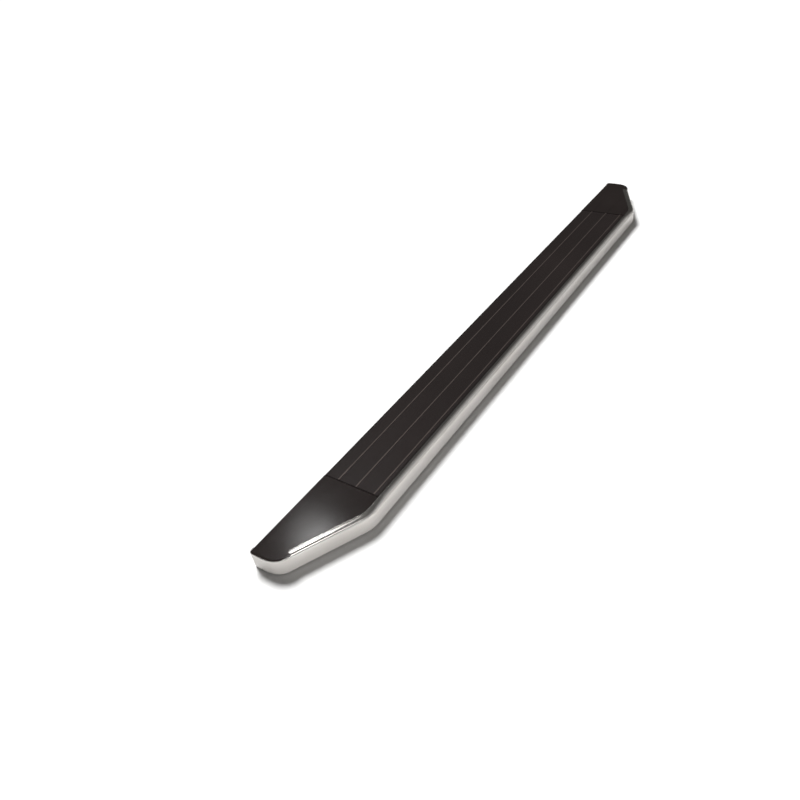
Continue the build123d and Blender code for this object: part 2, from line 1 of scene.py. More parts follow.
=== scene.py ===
import json
from math import atan2, cos, pi, radians, sin, tan

import bmesh
import bpy
from mathutils import Matrix, Vector


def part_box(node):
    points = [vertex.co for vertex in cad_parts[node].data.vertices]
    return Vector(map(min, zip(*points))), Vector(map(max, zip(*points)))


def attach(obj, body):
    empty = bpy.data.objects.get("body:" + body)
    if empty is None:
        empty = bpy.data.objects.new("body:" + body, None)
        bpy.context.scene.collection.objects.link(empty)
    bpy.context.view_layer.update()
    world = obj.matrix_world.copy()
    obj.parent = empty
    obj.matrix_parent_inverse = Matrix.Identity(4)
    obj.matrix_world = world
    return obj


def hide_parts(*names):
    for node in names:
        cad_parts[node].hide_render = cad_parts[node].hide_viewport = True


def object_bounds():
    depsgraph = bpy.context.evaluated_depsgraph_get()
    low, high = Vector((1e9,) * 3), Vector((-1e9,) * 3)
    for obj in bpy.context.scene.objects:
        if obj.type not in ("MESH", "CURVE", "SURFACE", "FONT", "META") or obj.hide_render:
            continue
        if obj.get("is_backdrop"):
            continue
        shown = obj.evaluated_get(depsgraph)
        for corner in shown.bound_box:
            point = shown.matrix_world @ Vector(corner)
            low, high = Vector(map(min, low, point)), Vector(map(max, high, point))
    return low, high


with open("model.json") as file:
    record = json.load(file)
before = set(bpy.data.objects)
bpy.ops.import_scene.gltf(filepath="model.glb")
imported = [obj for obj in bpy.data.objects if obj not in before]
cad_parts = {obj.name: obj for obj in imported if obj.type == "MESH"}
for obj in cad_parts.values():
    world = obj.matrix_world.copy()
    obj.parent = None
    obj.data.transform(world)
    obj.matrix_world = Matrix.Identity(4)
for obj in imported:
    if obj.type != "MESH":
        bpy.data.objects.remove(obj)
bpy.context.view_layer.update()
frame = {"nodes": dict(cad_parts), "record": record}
NODES = frame["nodes"]

# ---- Camera and studio, in metres and degrees ----
CAMERA_AT = Vector((-1.387, -0.765, 1.050))
CAMERA_AZIMUTH = -49.60
CAMERA_ELEVATION = 37.96
CAMERA_ROLL = -10.10
CAMERA_LENS = 31.33
SENSOR_WIDTH = 36.0
FLOOR_SIZE = 60.0

# ---- Sizes of the board, in metres, as in the CAD model ----
MM = 0.001
TIP_BEND = 38.0 * MM
TIP_WIDTH = 69.0 * MM
TIP_SWEEP = 6.0 * MM
TAPER_LENGTH = 185.0 * MM
CORNER_RADII = (8.0 * MM, 80.0 * MM, 42.0 * MM, 80.0 * MM)
BAND = 1.2 * MM
BAND_BOTTOM = 2.5 * MM
BAND_BEND = 3.0 * MM
BAND_RETURN = 6.0 * MM
BAND_WRAP = 6.0 * MM
LIP_WIDTH = 12.0 * MM
FLANGE_WIDTH = 17.0 * MM
FLANGE_TOP = 43.0 * MM
FLANGE_SETBACK = 30.0 * MM
FLANGE_HEM = 3.3 * MM
TIP_WALL_TOP = 41.5 * MM
SHOULDER_RADIUS = 6.5 * MM
SHOULDER_TILT = radians(20.0)
ROLL_RADIUS = 1.6 * MM
CAP_TOP = 43.0 * MM
CROWN_DROP = 1.3 * MM  # how far the top of a cap falls towards its rim
CROWN_REACH = 55.0 * MM  # over this distance in from the rim

LOW, HIGH = (Vector(corner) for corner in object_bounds())
HALF_LENGTH = HIGH.x
HALF_WIDTH = HIGH.y


# ---- Node helpers ----
def put(tree, kind, operation=None, **values):
    """Adds a node; a value that is a socket is linked, and any other is set on the input of that name."""
    made = tree.nodes.new(kind)
    if operation:
        made.operation = operation
    for name, value in values.items():
        index = int(name[1:]) if name[0] == "_" else name.replace("_", " ")
        socket = made.inputs[index]
        if isinstance(value, bpy.types.NodeSocket):
            tree.links.new(value, socket)
        else:
            socket.default_value = value
    return made


def new_group(name, inputs, outputs):
    """A shader node group with named sockets, given as {name: (kind, default)} and {name: kind}."""
    tree = bpy.data.node_groups.new(name, "ShaderNodeTree")
    for title, (kind, default) in inputs.items():
        socket = tree.interface.new_socket(title, in_out="INPUT", socket_type=kind)
        socket.default_value = default
    for title, kind in outputs.items():
        tree.interface.new_socket(title, in_out="OUTPUT", socket_type=kind)
    return tree, tree.nodes.new("NodeGroupInput"), tree.nodes.new("NodeGroupOutput")


FLOAT, COLOUR, VECTOR = "NodeSocketFloat", "NodeSocketColor", "NodeSocketVector"


def make_grain_group():
    """Fine grain drawn out along the board, as on rolled or brushed metal and moulded skins."""
    tree, given, result = new_group(
        "Lengthwise grain",
        {"Position": (VECTOR, (0, 0, 0)), "Scale": (FLOAT, 400.0), "Stretch": (FLOAT, 0.05)},
        {"Grain": FLOAT},
    )
    stretched = put(tree, "ShaderNodeCombineXYZ", X=given.outputs["Stretch"], Y=1.0, Z=1.0)
    drawn = put(tree, "ShaderNodeVectorMath", "MULTIPLY", _0=given.outputs["Position"], _1=stretched.outputs[0])
    noise = put(
        tree,
        "ShaderNodeTexNoise",
        Vector=drawn.outputs[0],
        Scale=given.outputs["Scale"],
        Detail=4.0,
        Roughness=0.6,
    )
    tree.links.new(noise.outputs["Fac"], result.inputs["Grain"])
    return tree


def make_patches_group():
    """Soft uneven patches with finer specks over them, for handling marks, dust and uneven gloss."""
    tree, given, result = new_group(
        "Handling patches",
        {
            "Position": (VECTOR, (0, 0, 0)),
            "Patch Scale": (FLOAT, 9.0),
            "Speck Scale": (FLOAT, 240.0),
            "Speck Share": (FLOAT, 0.5),
        },
        {"Patches": FLOAT, "Specks": FLOAT},
    )
    broad = put(
        tree,
        "ShaderNodeTexNoise",
        Vector=given.outputs["Position"],
        Scale=given.outputs["Patch Scale"],
        Detail=3.0,
    )
    fine = put(
        tree,
        "ShaderNodeTexNoise",
        Vector=given.outputs["Position"],
        Scale=given.outputs["Speck Scale"],
        Detail=2.0,
    )
    edge = put(tree, "ShaderNodeMapRange", Value=fine.outputs["Fac"], _1=given.outputs["Speck Share"], _2=0.8)
    tree.links.new(broad.outputs["Fac"], result.inputs["Patches"])
    tree.links.new(edge.outputs[0], result.inputs["Specks"])
    return tree


# This height mask sets the polished top of the band and the painted highlight on the deck's rib crowns.
def make_crown_mask_group():
    """A mask that rises from nothing at one height to full at another, broken up by a noise."""
    tree, given, result = new_group(
        "Crown mask",
        {
            "Position": (VECTOR, (0, 0, 0)),
            "Low": (FLOAT, 0.0),
            "High": (FLOAT, 1.0),
            "Break Scale": (FLOAT, 60.0),
            "Break": (FLOAT, 0.3),
        },
        {"Mask": FLOAT},
    )
    apart = put(tree, "ShaderNodeSeparateXYZ", _0=given.outputs["Position"])
    ramp = put(
        tree,
        "ShaderNodeMapRange",
        Value=apart.outputs["Z"],
        _1=given.outputs["Low"],
        _2=given.outputs["High"],
    )
    noise = put(
        tree,
        "ShaderNodeTexNoise",
        Vector=given.outputs["Position"],
        Scale=given.outputs["Break Scale"],
        Detail=4.0,
    )
    loss = put(tree, "ShaderNodeMath", "MULTIPLY", _0=noise.outputs["Fac"], _1=given.outputs["Break"])
    left = put(tree, "ShaderNodeMath", "SUBTRACT", _0=ramp.outputs[0], _1=loss.outputs[0])
    left.use_clamp = True
    tree.links.new(left.outputs[0], result.inputs["Mask"])
    return tree


GRAIN = make_grain_group()
PATCHES = make_patches_group()
CROWN_MASK = make_crown_mask_group()


def use_group(tree, group, **values):
    """Places a node group in a material."""
    made = tree.nodes.new("ShaderNodeGroup")
    made.node_tree = group
    for name, value in values.items():
        socket = made.inputs[name.replace("_", " ")]
        if isinstance(value, bpy.types.NodeSocket):
            tree.links.new(value, socket)
        else:
            socket.default_value = value
    return made


def start_material(name, **constants):
    """A material with its Principled shader's constants set, and its object coordinates."""
    material = bpy.data.materials.new(name)
    material.use_nodes = True
    tree = material.node_tree
    shader = tree.nodes["Principled BSDF"]
    for title, value in constants.items():
        shader.inputs[title.replace("_", " ")].default_value = value
    position = put(tree, "ShaderNodeTexCoord").outputs["Object"]
    return material, tree, shader, position


def mix_colours(tree, share, first, second):
    """Blends two colours by a share."""
    mix = tree.nodes.new("ShaderNodeMix")
    mix.data_type = "RGBA"
    for socket, value in ((mix.inputs[0], share), (mix.inputs[6], first), (mix.inputs[7], second)):
        if isinstance(value, bpy.types.NodeSocket):
            tree.links.new(value, socket)
        else:
            socket.default_value = value
    return mix.outputs[2]


def spread(tree, value, low, high):
    """Stretches a 0 to 1 value to a range."""
    return put(tree, "ShaderNodeMapRange", Value=value, _3=low, _4=high).outputs[0]


def bump(tree, shader, height, distance, strength=1.0):
    """Feeds a height into the shader's normal; the distance is in metres."""
    made = put(tree, "ShaderNodeBump", Height=height, Distance=distance, Strength=strength)
    tree.links.new(made.outputs[0], shader.inputs["Normal"])


# ---- Materials ----
def trim_steel():
    """Bright stainless band: fine lengthwise grain, a pale road film on its wall, polished on top."""
    material, tree, shader, position = start_material("trim_steel", Specular_IOR_Level=0.5)
    grain = use_group(tree, GRAIN, Position=position, Scale=900.0, Stretch=0.02)
    marks = use_group(tree, PATCHES, Position=position, Patch_Scale=7.0, Speck_Scale=320.0, Speck_Share=0.62)
    apart = put(tree, "ShaderNodeSeparateXYZ", _0=position)
    along = put(tree, "ShaderNodeMath", "ABSOLUTE", _0=apart.outputs["X"])
    lower_at_ends = put(tree, "ShaderNodeMapRange", Value=along.outputs[0], _1=0.67, _2=0.73, _3=0.0, _4=0.0012)
    lift = put(tree, "ShaderNodeCombineXYZ", Z=lower_at_ends.outputs[0])
    raised = put(tree, "ShaderNodeVectorMath", "ADD", _0=position, _1=lift.outputs[0])
    polished = use_group(
        tree, CROWN_MASK, Position=raised.outputs[0], Low=0.0398, High=0.0428, Break_Scale=30.0, Break=0.06
    )
    base = mix_colours(
        tree, marks.outputs["Patches"], (0.54, 0.51, 0.48, 1), (0.64, 0.62, 0.60, 1)
    )
    tree.links.new(base, shader.inputs["Base Color"])
    tree.links.new(spread(tree, polished.outputs[0], 0.18, 0.97), shader.inputs["Metallic"])
    film = spread(tree, polished.outputs[0], 0.12, 0.0)
    brushed = spread(tree, grain.outputs[0], 0.15, 0.24)
    rough = put(tree, "ShaderNodeMath", "ADD", _0=film, _1=brushed)
    tree.links.new(rough.outputs[0], shader.inputs["Roughness"])
    bump(tree, shader, grain.outputs[0], 0.00003, 0.5)
    return material


def cap_plastic():
    """Dark brown-black moulded plastic with a fine pebbled skin and uneven gloss."""
    material, tree, shader, position = start_material("cap_plastic", IOR=1.48)
    marks = use_group(tree, PATCHES, Position=position, Patch_Scale=11.0, Speck_Scale=900.0, Speck_Share=0.5)
    base = mix_colours(
        tree, marks.outputs["Patches"], (0.0135, 0.0105, 0.0100, 1), (0.021, 0.0165, 0.0158, 1)
    )
    tree.links.new(base, shader.inputs["Base Color"])
    tree.links.new(spread(tree, marks.outputs["Patches"], 0.14, 0.20), shader.inputs["Roughness"])
    pebbles = put(tree, "ShaderNodeTexVoronoi", Vector=position, Scale=1400.0)
    bump(tree, shader, pebbles.outputs["Distance"], 0.00002, 0.35)
    return material


def tread_rubber():
    """Dark strips: a dull skin with fine lengthwise drawing and a little dust in it."""
    material, tree, shader, position = start_material("tread_rubber", IOR=1.5)
    grain = use_group(tree, GRAIN, Position=position, Scale=700.0, Stretch=0.03)
    marks = use_group(tree, PATCHES, Position=position, Patch_Scale=5.0, Speck_Scale=420.0, Speck_Share=0.6)
    base = mix_colours(
        tree, marks.outputs["Patches"], (0.0145, 0.0118, 0.0114, 1), (0.025, 0.0195, 0.0188, 1)
    )
    dusty = mix_colours(
        tree, spread(tree, marks.outputs["Specks"], 0.0, 0.35), base, (0.055, 0.048, 0.044, 1)
    )
    tree.links.new(dusty, shader.inputs["Base Color"])
    tree.links.new(spread(tree, grain.outputs[0], 0.34, 0.5), shader.inputs["Roughness"])
    bump(tree, shader, grain.outputs[0], 0.00006, 0.5)
    return material


def deck_metal():
    """Dark anodised aluminium, drawn lengthwise, with the crowns of the tread ribs painted lighter: a painted
    highlight along the rib tops.
    """
    material, tree, shader, position = start_material("deck_metal", Metallic=0.70)
    grain = use_group(tree, GRAIN, Position=position, Scale=800.0, Stretch=0.02)
    # Painted highlight: a height mask over the crowns of the tread ribs, broken up by a noise, that lightens their
    # colour.
    crown_highlight = use_group(
        tree, CROWN_MASK, Position=position, Low=0.0429, High=0.0433, Break_Scale=45.0, Break=0.5
    )
    marks = use_group(tree, PATCHES, Position=position, Patch_Scale=8.0, Speck_Scale=500.0, Speck_Share=0.6)
    dark = mix_colours(
        tree, marks.outputs["Patches"], (0.035, 0.029, 0.028, 1), (0.055, 0.046, 0.044, 1)
    )
    # The rib crowns are painted a lighter brown here. This is a painted highlight where the ribs catch the light.
    base = mix_colours(tree, crown_highlight.outputs[0], dark, (0.23, 0.19, 0.175, 1))
    tree.links.new(base, shader.inputs["Base Color"])
    tree.links.new(spread(tree, grain.outputs[0], 0.3, 0.46), shader.inputs["Roughness"])
    bump(tree, shader, grain.outputs[0], 0.00004, 0.5)
    return material


def gasket_rubber():
    """Matt black foam rubber with open pores."""
    material, tree, shader, position = start_material("gasket_rubber", IOR=1.45)
    pores = put(tree, "ShaderNodeTexVoronoi", Vector=position, Scale=1800.0)
    base = mix_colours(
        tree, pores.outputs["Distance"], (0.006, 0.006, 0.006, 1), (0.018, 0.017, 0.017, 1)
    )
    tree.links.new(base, shader.inputs["Base Color"])
    tree.links.new(spread(tree, pores.outputs["Distance"], 0.75, 0.95), shader.inputs["Roughness"])
    bump(tree, shader, pores.outputs["Distance"], 0.0001)
    return material


def plated_steel(name, light, dark, rough):
    """Zinc plate: a cool spangled grey, duller where it has been handled."""
    material, tree, shader, position = start_material(name, Metallic=1.0)
    spangle = put(tree, "ShaderNodeTexVoronoi", Vector=position, Scale=260.0)
    marks = use_group(tree, PATCHES, Position=position, Patch_Scale=60.0, Speck_Scale=900.0, Speck_Share=0.55)
    plate = mix_colours(tree, spread(tree, spangle.outputs["Distance"], 0.0, 1.4), light, dark)
    stained = mix_colours(tree, spread(tree, marks.outputs["Patches"], 0.0, 0.5), plate, dark)
    tree.links.new(stained, shader.inputs["Base Color"])
    tree.links.new(spread(tree, marks.outputs["Patches"], rough - 0.08, rough + 0.12), shader.inputs["Roughness"])
    bump(tree, shader, marks.outputs["Specks"], 0.00003, 0.6)
    return material


def nylon(name, colour, rough):
    """Moulded nylon with a faint mottle and fine skin."""
    material, tree, shader, position = start_material(name, IOR=1.53)
    marks = use_group(tree, PATCHES, Position=position, Patch_Scale=40.0, Speck_Scale=700.0, Speck_Share=0.5)
    pale = tuple(min(1.0, c * 1.7) for c in colour[:3]) + (1,)
    base = mix_colours(tree, marks.outputs["Patches"], colour, pale)
    tree.links.new(base, shader.inputs["Base Color"])
    tree.links.new(spread(tree, marks.outputs["Patches"], rough - 0.08, rough + 0.1), shader.inputs["Roughness"])
    bump(tree, shader, marks.outputs["Specks"], 0.00004, 0.5)
    return material


def pale_floor():
    """Plain pale studio floor with a trace of unevenness."""
    material, tree, shader, position = start_material("pale_floor", Roughness=0.9)
    noise = put(tree, "ShaderNodeTexNoise", Vector=position, Scale=1.5, Detail=3.0)
    base = mix_colours(tree, noise.outputs["Fac"], (0.86, 0.86, 0.855, 1), (0.88, 0.88, 0.875, 1))
    tree.links.new(base, shader.inputs["Base Color"])
    return material


MATERIALS = {
    "trim_steel": trim_steel(),
    "cap_plastic": cap_plastic(),
    "tread_rubber": tread_rubber(),
    "deck_metal": deck_metal(),
    "gasket_rubber": gasket_rubber(),
    "zinc_steel": plated_steel("zinc_steel", (0.62, 0.62, 0.60, 1), (0.36, 0.36, 0.34, 1), 0.38),
    "nut_steel": plated_steel("nut_steel", (0.55, 0.54, 0.50, 1), (0.30, 0.29, 0.26, 1), 0.46),
    "clip_plastic": nylon("clip_plastic", (0.020, 0.020, 0.021, 1), 0.5),
    "foam_tape": nylon("foam_tape", (0.075, 0.075, 0.078, 1), 0.85),
}


def finish_cad_nodes():
    """Gives every CAD node the material of its slot in the record."""
    for entry in frame["record"]["subparts"]:
        materials = NODES[entry["node"]].data.materials
        materials.clear()
        materials.append(MATERIALS[entry["material_slot"]])


# ---- Mesh helpers ----
def make_piece(name, shape, slot, body, replaced, smooth_angle=35.0):
    """Turns a finished bmesh into a piece that rides on a body and may stand for a CAD node."""
    bmesh.ops.recalc_face_normals(shape, faces=shape.faces)
    mesh = bpy.data.meshes.new(name)
    shape.to_mesh(mesh)
    shape.free()
    mesh.polygons.foreach_set("use_smooth", [True] * len(mesh.polygons))
    mesh.set_sharp_from_angle(angle=radians(smooth_angle))
    mesh.materials.append(MATERIALS[slot])
    piece = bpy.data.objects.new(name, mesh)
    bpy.context.scene.collection.objects.link(piece)
    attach(piece, body)
    if replaced:
        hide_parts(replaced)
    return piece


def push(shape, edges, vector, steps=1):
    """Extrudes edges along a straight line and returns the new far edges."""
    for _ in range(steps):
        grown = bmesh.ops.extrude_edge_only(shape, edges=edges)["geom"]
        verts = [g for g in grown if isinstance(g, bmesh.types.BMVert)]
        bmesh.ops.translate(shape, verts=verts, vec=vector / steps)
        edges = [g for g in grown if isinstance(g, bmesh.types.BMEdge) and set(g.verts) <= set(verts)]
    return edges


def swing(shape, geometry, centre, axis, angle, steps):
    """Spins edges or a vertex round an axis and returns the same kind of thing at the far end."""
    kind = type(geometry[0])
    made = bmesh.ops.spin(
        shape,
        geom=geometry,
        cent=centre,
        axis=axis,
        angle=angle,
        steps=steps,
        use_merge=False,
        use_duplicate=False,
    )
    return [g for g in made["geom_last"] if isinstance(g, kind)]


def end_corners(side):
    """Plan corners of one end, from the inner edge to the taper corner; side is -1 at the front."""
    return [
        Vector((side * HALF_LENGTH, HALF_WIDTH, 0)),
        Vector((side * HALF_LENGTH, HALF_WIDTH - TIP_BEND, 0)),
        Vector((side * (HALF_LENGTH - TIP_SWEEP), HALF_WIDTH - TIP_WIDTH, 0)),
        Vector((side * (HALF_LENGTH - TAPER_LENGTH), -HALF_WIDTH, 0)),
    ]


def flange_start(side):
    """The plan point on the taper where the top flange begins."""
    tip, taper = end_corners(side)[2:]
    return tip + (taper - tip).normalized() * FLANGE_SETBACK


def sweep_round(shape, edges, points, radii, step_angle=radians(3.0)):
    """Carries a section along a plan line: straight between its points, spun round its corners."""
    here = points[0]
    for corner, following, radius in zip(points[1:-1], points[2:], radii):
        arriving = (corner - here).normalized()
        leaving = (following - corner).normalized()
        turn = arriving.cross(leaving).z
        angle = arriving.angle(leaving) * (1 if turn > 0 else -1)
        setback = radius * tan(abs(angle) / 2)
        start = corner - arriving * setback
        edges = push(shape, edges, start - here)
        side = Vector((-arriving.y, arriving.x, 0)) * (1 if turn > 0 else -1)
        steps = max(4, round(abs(angle) / step_angle))
        edges = swing(shape, edges, start + side * radius, (0, 0, 1), angle, steps)
        here = corner + leaving * setback
    return push(shape, edges, points[-1] - here)


# ---- Outer trim ----
def draw_line(shape, vert, vector):
    """Adds a straight stretch to a section and returns its far vertex."""
    grown = bmesh.ops.extrude_vert_indiv(shape, verts=[vert])["verts"]
    bmesh.ops.translate(shape, verts=grown, vec=vector)
    return grown[0]


def draw_foot(shape, origin, inwards, reach):
    """The lower part of the band's section: lip, bend and the start of the wall."""
    along = Vector((0, 0, 1)).cross(inwards)
    vert = shape.verts.new(origin + inwards * reach + Vector((0, 0, BAND_BOTTOM)))
    vert = draw_line(shape, vert, -inwards * (reach - BAND_BEND))
    centre = origin + inwards * BAND_BEND + Vector((0, 0, BAND_BOTTOM + BAND_BEND))
    return swing(shape, [vert], centre, along, pi / 2, 8)[0], along


def wall_section(shape, origin, inwards):
    """The plain wall round a tip."""
    vert, _ = draw_foot(shape, origin, inwards, BAND_RETURN)
    draw_line(shape, vert, Vector((0, 0, TIP_WALL_TOP - vert.co.z)))
    return list(shape.edges)


def flanged_section(shape, origin, inwards):
    """The section along the sides: lip, wall, round shoulder, crowned flange and rolled hem."""
    vert, along = draw_foot(shape, origin, inwards, LIP_WIDTH)
    crown_run = FLANGE_WIDTH - ROLL_RADIUS - SHOULDER_RADIUS * (1 - sin(SHOULDER_TILT))
    crown_rise = crown_run * tan(SHOULDER_TILT / 2)
    wall_top = FLANGE_TOP - crown_rise - SHOULDER_RADIUS * cos(SHOULDER_TILT)
    vert = draw_line(shape, vert, Vector((0, 0, wall_top - vert.co.z)))
    centre = vert.co + inwards * SHOULDER_RADIUS
    vert = swing(shape, [vert], centre, along, pi / 2 - SHOULDER_TILT, 14)[0]
    crown_radius = crown_run / sin(SHOULDER_TILT)
    top = origin + inwards * (FLANGE_WIDTH - ROLL_RADIUS)
    centre = top + Vector((0, 0, FLANGE_TOP - crown_radius))
    vert = swing(shape, [vert], centre, along, SHOULDER_TILT, 8)[0]
    centre = top + Vector((0, 0, FLANGE_TOP - ROLL_RADIUS))
    vert = swing(shape, [vert], centre, along, pi / 2, 10)[0]
    draw_line(shape, vert, Vector((0, 0, ROLL_RADIUS - FLANGE_HEM)))
    return list(shape.edges)


def make_trim():
    """One bright band from inner corner to inner corner, with its flange along the sides."""
    whole = bmesh.new()
    for side in (-1, 1):
        corners = end_corners(side)
        start = corners[0] - Vector((side * (CORNER_RADII[0] + BAND_WRAP), 0, 0))
        run = bmesh.new()
        edges = wall_section(run, start, Vector((0, -1, 0)))
        sweep_round(run, edges, [start] + corners[:3] + [flange_start(side)], CORNER_RADII[:3])
        join_sheet(whole, run)
    begin, finish = flange_start(-1), flange_start(1)
    run = bmesh.new()
    taper = (end_corners(-1)[3] - begin).normalized()
    edges = flanged_section(run, begin, Vector((-taper.y, taper.x, 0)))
    sweep_round(run, edges, [begin, end_corners(-1)[3], end_corners(1)[3], finish], [CORNER_RADII[3]] * 2)
    join_sheet(whole, run)
    return make_piece("outer_trim_band", whole, "trim_steel", "board", "outer_trim")


def join_sheet(whole, run):
    """Thickens one run of the band and adds it to the rest."""
    bmesh.ops.recalc_face_normals(run, faces=run.faces)
    centre = Vector((0, 0, FLANGE_TOP / 2))
    widest = max(run.faces, key=lambda face: face.calc_area())
    outward = widest.normal.dot(widest.calc_center_median() - centre) > 0
    bmesh.ops.solidify(run, geom=run.faces[:], thickness=BAND if outward else -BAND)
    bmesh.ops.recalc_face_normals(run, faces=run.faces)
    mesh = bpy.data.meshes.new("run")
    run.to_mesh(mesh)
    run.free()
    whole.from_mesh(mesh)
    bpy.data.meshes.remove(mesh)


# ---- Tread strips ----
STRIP_THICKNESS = 2.2 * MM
STRIP_GROOVE_PITCH = 3.0 * MM
STRIP_GROOVE_WIDTH = 0.7 * MM
STRIP_GROOVE_DEPTH = 0.25 * MM
STRIP_MARGIN = 2.0 * MM
STRIP_EDGE = 0.5 * MM
KEY_NECK = 2.4 * MM
KEY_FOOT = 3.6 * MM


def cut_across(shape, place):
    """Cuts every face of a shape along the plane y = place."""
    everything = shape.verts[:] + shape.edges[:] + shape.faces[:]
    bmesh.ops.bisect_plane(shape, geom=everything, plane_co=(0, place, 0), plane_no=(0, 1, 0))


def make_tread_strips():
    """Four rubber strips with fine lengthwise grooves and rounded long edges, keyed between the ribs."""
    for node in ("tread_strip_inner", "tread_strip_inner_middle", "tread_strip_outer_middle", "tread_strip_outer"):
        low, high = (Vector(corner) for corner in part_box(node))
        key_depth = high.z - low.z - STRIP_THICKNESS
        low.z += key_depth
        shape = bmesh.new()
        bmesh.ops.create_cube(shape, size=1.0)
        bmesh.ops.scale(shape, verts=shape.verts, vec=high - low)
        bmesh.ops.translate(shape, verts=shape.verts, vec=(low + high) / 2)
        long_edges = [
            edge
            for edge in shape.edges
            if edge.calc_length() > (high.x - low.x) / 2 and edge.verts[0].co.z > low.z + STRIP_EDGE
        ]
        bmesh.ops.bevel(
            shape,
            geom=long_edges,
            affect="EDGES",
            offset=STRIP_EDGE,
            segments=3,
            profile=0.5,
            material=-1,
        )
        groove = low.y + STRIP_MARGIN
        while groove < high.y - STRIP_MARGIN:
            for side in (-1, 0, 1):
                cut_across(shape, groove + side * STRIP_GROOVE_WIDTH / 2)
            bottom = [
                vert
                for vert in shape.verts
                if abs(vert.co.y - groove) < STRIP_GROOVE_WIDTH / 4 and vert.co.z > high.z - STRIP_EDGE / 2
            ]
            bmesh.ops.translate(shape, verts=bottom, vec=(0, 0, -STRIP_GROOVE_DEPTH))
            groove += STRIP_GROOVE_PITCH
        middle = (low.y + high.y) / 2
        for side in (-1, 1):
            cut_across(shape, middle + side * KEY_NECK / 2)
        key = [
            face
            for face in shape.faces
            if face.normal.z < -0.9 and abs(face.calc_center_median().y - middle) < KEY_NECK / 2
        ]
        grown = bmesh.ops.extrude_face_region(shape, geom=key)["geom"]
        bmesh.ops.delete(shape, geom=key, context="FACES")
        foot = [g for g in grown if isinstance(g, bmesh.types.BMVert)]
        bmesh.ops.translate(shape, verts=foot, vec=(0, -middle, -key_depth))
        bmesh.ops.scale(shape, verts=foot, vec=(1, KEY_FOOT / KEY_NECK, 1))
        bmesh.ops.translate(shape, verts=foot, vec=(0, middle, 0))
        make_piece(f"{node}_grooved", shape, "tread_rubber", "board", node, 20.0)


# ---- Screws and nut threads ----
CAP_SCREW = {"head": 4.2 * MM, "head_height": 2.3 * MM, "shank": 1.9 * MM, "socket": 1.9 * MM}
TRIM_SCREW = {"head": 3.5 * MM, "head_height": 1.8 * MM, "shank": 1.5 * MM, "socket": 1.5 * MM}
SOCKET_DEPTH = 1.1 * MM
SCREW_STEPS = 36
SCREW_THREAD_PITCH = 1.3 * MM
SCREW_THREAD_DEPTH = 0.3 * MM
NUT_HOLE = 3.4 * MM
NUT_PITCH = 1.25 * MM
NUT_THREAD_DEPTH = 0.45 * MM


def solid_boxes(node):
    """The box of each separate solid in a CAD node, as (low, high) pairs."""
    shape = bmesh.new()
    shape.from_mesh(NODES[node].data)
    bmesh.ops.remove_doubles(shape, verts=shape.verts, dist=0.01 * MM)
    left, boxes = set(shape.verts), []
    while left:
        stack, places = [left.pop()], []
        while stack:
            vert = stack.pop()
            places.append(vert.co.copy())
            near = {edge.other_vert(vert) for edge in vert.link_edges} & left
            left -= near
            stack.extend(near)
        lows = Vector([min(place[axis] for place in places) for axis in range(3)])
        highs = Vector([max(place[axis] for place in places) for axis in range(3)])
        boxes.append((lows, highs))
    shape.free()
    return boxes


def turn_screw(shape, points, place, socket):
    """Spins a half section, given as (radius, height) points, and makes its drive socket six-sided."""
    vert = shape.verts.new(place + Vector((points[0][0], 0, points[0][1])))
    section = [vert]
    for here, following in zip(points, points[1:]):
        vert = draw_line(shape, vert, Vector((following[0] - here[0], 0, following[1] - here[1])))
        section.append(vert)
    edges = list({edge for vert in section for edge in vert.link_edges})
    before = set(shape.verts) - set(section)
    bmesh.ops.spin(
        shape,
        geom=section + edges,
        cent=place,
        axis=(0, 0, 1),
        angle=2 * pi,
        steps=SCREW_STEPS,
        use_merge=True,
        use_duplicate=False,
    )
    for vert in set(shape.verts) - before:
        offset = vert.co - place
        radius = offset.xy.length
        if 0 < radius <= socket * 1.001 and offset.z < SOCKET_DEPTH * 1.001 and radius > socket * 0.999:
            from_flat = (atan2(offset.y, offset.x) % (pi / 3)) - pi / 6
            offset.xy *= cos(pi / 6) / cos(from_flat)
            vert.co = place + offset


def screw_section(kind, length, countersunk):
    """The half section of a screw whose head faces down, from the bottom of its socket to its tip."""
    head, height, shank, socket = (kind[name] for name in ("head", "head_height", "shank", "socket"))
    points = [(0.0, SOCKET_DEPTH), (socket, SOCKET_DEPTH), (socket, 0.0)]
    if countersunk:
        points += [(head, 0.0), (shank, height)]
    else:
        points += [(head - height / 2, 0.0), (head - height / 6, height / 6), (head, height / 2)]
        points += [(head, height), (shank, height)]
    rise = height
    while rise + SCREW_THREAD_PITCH < length - SCREW_THREAD_PITCH:
        points += [(shank - SCREW_THREAD_DEPTH, rise + SCREW_THREAD_PITCH / 2), (shank, rise + SCREW_THREAD_PITCH)]
        rise += SCREW_THREAD_PITCH
    return points + [(0.0, length)]


def make_screws():
    """Every screw, with its socket, head and threaded shank, in place of the plain ones."""
    groups = {
        "front_cap_screws": CAP_SCREW,
        "rear_cap_screws": CAP_SCREW,
        "front_trim_screws": TRIM_SCREW,
        "rear_trim_screws": TRIM_SCREW,
        "deck_trim_screws": TRIM_SCREW,
    }
    for node, kind in groups.items():
        shape = bmesh.new()
        for low, high in solid_boxes(node):
            place = Vector(((low.x + high.x) / 2, (low.y + high.y) / 2, low.z))
            points = screw_section(kind, high.z - low.z, kind is CAP_SCREW)
            turn_screw(shape, points, place, kind["socket"])
        bmesh.ops.remove_doubles(shape, verts=shape.verts, dist=0.001 * MM)
        make_piece(f"{node}_socketed", shape, "zinc_steel", "board", node)


